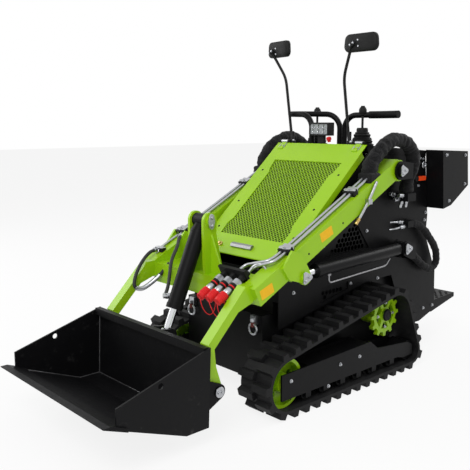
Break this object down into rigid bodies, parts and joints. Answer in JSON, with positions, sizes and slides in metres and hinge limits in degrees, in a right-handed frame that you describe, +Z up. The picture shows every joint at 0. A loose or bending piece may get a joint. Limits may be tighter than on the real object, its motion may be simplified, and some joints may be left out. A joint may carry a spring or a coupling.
{
  "type": "mini skid steer loader",
  "caption": "Stand-on tracked mini loader with bucket, lift arms, opening hood and folding platform.",
  "frame": {"origin": "centre of the bounding box at ground level", "axes": "+Z up, -Y forward towards the bucket, +X the machine's left side"},
  "size_m": [0.9, 2.504, 1.699],
  "materials": {
    "green_paint": "gloss lime green paint",
    "black_paint": "satin black powder coat",
    "track_rubber": "matt black track rubber",
    "black_plastic": "matt black plastic and rubber boots",
    "engine_iron": "dark cast iron",
    "chromed_rod": "hard chrome",
    "bright_steel": "zinc-plated steel",
    "red_plastic": "red plastic caps",
    "black_cloth": "woven black hose sleeve"
  },
  "bodies": {
    "chassis": {"chassis_tub": "black_paint", "engine_block": "engine_iron", "front_panel": "black_paint", "side_panel_left": "black_paint", "side_panel_right": "black_paint", "side_mesh_left": "black_paint", "side_mesh_right": "black_paint", "deck": "black_paint", "rear_panel": "black_paint", "arm_tower_left": "black_paint", "arm_tower_right": "black_paint", "side_box_left": "black_paint", "side_box_right": "black_paint", "track_left": "track_rubber", "track_right": "track_rubber", "drive_sprocket_left": "green_paint", "drive_sprocket_right": "green_paint", "idler_left": "green_paint", "idler_right": "green_paint", "rollers_left": "black_paint", "rollers_right": "black_paint", "track_frame_left": "black_paint", "track_frame_right": "black_paint", "handlebars": "black_paint", "joysticks": "black_plastic", "mirrors": "black_plastic", "work_light": "black_plastic", "lashing_rings": "bright_steel", "hose_ports": "black_paint", "hose_sleeve_left": "black_cloth", "hose_sleeve_right": "black_cloth", "lift_hose_left": "black_cloth", "lift_hose_right": "black_cloth"},
    "hood": {"hood": "green_paint", "hood_grille": "green_paint", "hood_latch": "bright_steel"},
    "loader_arms": {"arm_left": "green_paint", "arm_right": "green_paint", "arm_crossbeam": "green_paint", "tilt_bracket": "green_paint", "couplers": "bright_steel", "coupler_caps": "red_plastic", "arm_pipes_left": "bright_steel", "arm_pipes_right": "bright_steel"},
    "lift_barrel_left": {"lift_barrel_left": "black_paint"},
    "lift_rod_left": {"lift_rod_left": "chromed_rod"},
    "lift_barrel_right": {"lift_barrel_right": "black_paint"},
    "lift_rod_right": {"lift_rod_right": "chromed_rod"},
    "tilt_barrel": {"tilt_barrel": "black_paint"},
    "tilt_rod": {"tilt_rod": "chromed_rod"},
    "bucket": {"hitch": "black_paint", "bucket_shell": "black_paint", "bucket_sides": "black_paint", "cutting_edge": "black_paint"},
    "platform": {"platform": "black_paint"}
  },
  "joints": [
    {"name": "arms_raise", "type": "hinge", "parent": "chassis", "child": "loader_arms", "pos_m": [0, 0.457, 1.027], "axis": [-1, 0, 0], "range_deg": [-3, 78], "deforming": ["hose_sleeve_left", "hose_sleeve_right"]},
    {"name": "bucket_tilt", "type": "hinge", "parent": "loader_arms", "child": "bucket", "pos_m": [0, -0.702, 0.2], "axis": [1, 0, 0], "range_deg": [0, 110]},
    {"name": "lift_swing_left", "type": "hinge", "parent": "chassis", "child": "lift_barrel_left", "pos_m": [0.366, 0.557, 0.626], "axis": [-1, 0, 0], "range_deg": [-2.24, 58.06]},
    {"name": "lift_stroke_left", "type": "slide", "parent": "lift_barrel_left", "child": "lift_rod_left", "axis": [0, -0.9994, -0.0343], "range_m": [-0.01542, 0.39831]},
    {"name": "lift_swing_right", "type": "hinge", "parent": "chassis", "child": "lift_barrel_right", "pos_m": [-0.366, 0.557, 0.626], "axis": [-1, 0, 0], "range_deg": [-2.24, 58.06]},
    {"name": "lift_stroke_right", "type": "slide", "parent": "lift_barrel_right", "child": "lift_rod_right", "axis": [0, -0.9994, -0.0343], "range_m": [-0.01542, 0.39831]},
    {"name": "tilt_swing", "type": "hinge", "parent": "loader_arms", "child": "tilt_barrel", "pos_m": [0, -0.466, 0.829], "axis": [1, 0, 0], "range_deg": [-6.78, 0.01]},
    {"name": "tilt_stroke", "type": "slide", "parent": "tilt_barrel", "child": "tilt_rod", "axis": [0, -0.398, -0.9174], "range_m": [-0.0001, 0.22961]},
    {"name": "hood_open", "type": "hinge", "parent": "chassis", "child": "hood", "pos_m": [0, 0.329, 1.161], "axis": [-1, 0, 0], "range_deg": [0, 60]},
    {"name": "platform_fold", "type": "hinge", "parent": "chassis", "child": "platform", "pos_m": [0, 0.984, 0.229], "axis": [1, 0, 0], "range_deg": [0, 80]}
  ],
  "couplings": [
    {"joint": "lift_swing_left", "follows": "arms_raise", "ratio": 0.74429},
    {"joint": "lift_stroke_left", "follows": "arms_raise", "m_per_rad": 0.29251},
    {"joint": "lift_swing_right", "follows": "arms_raise", "ratio": 0.74429},
    {"joint": "lift_stroke_right", "follows": "arms_raise", "m_per_rad": 0.29251},
    {"joint": "tilt_swing", "follows": "bucket_tilt", "ratio": -0.061564},
    {"joint": "tilt_stroke", "follows": "bucket_tilt", "m_per_rad": 0.11954}
  ]
}
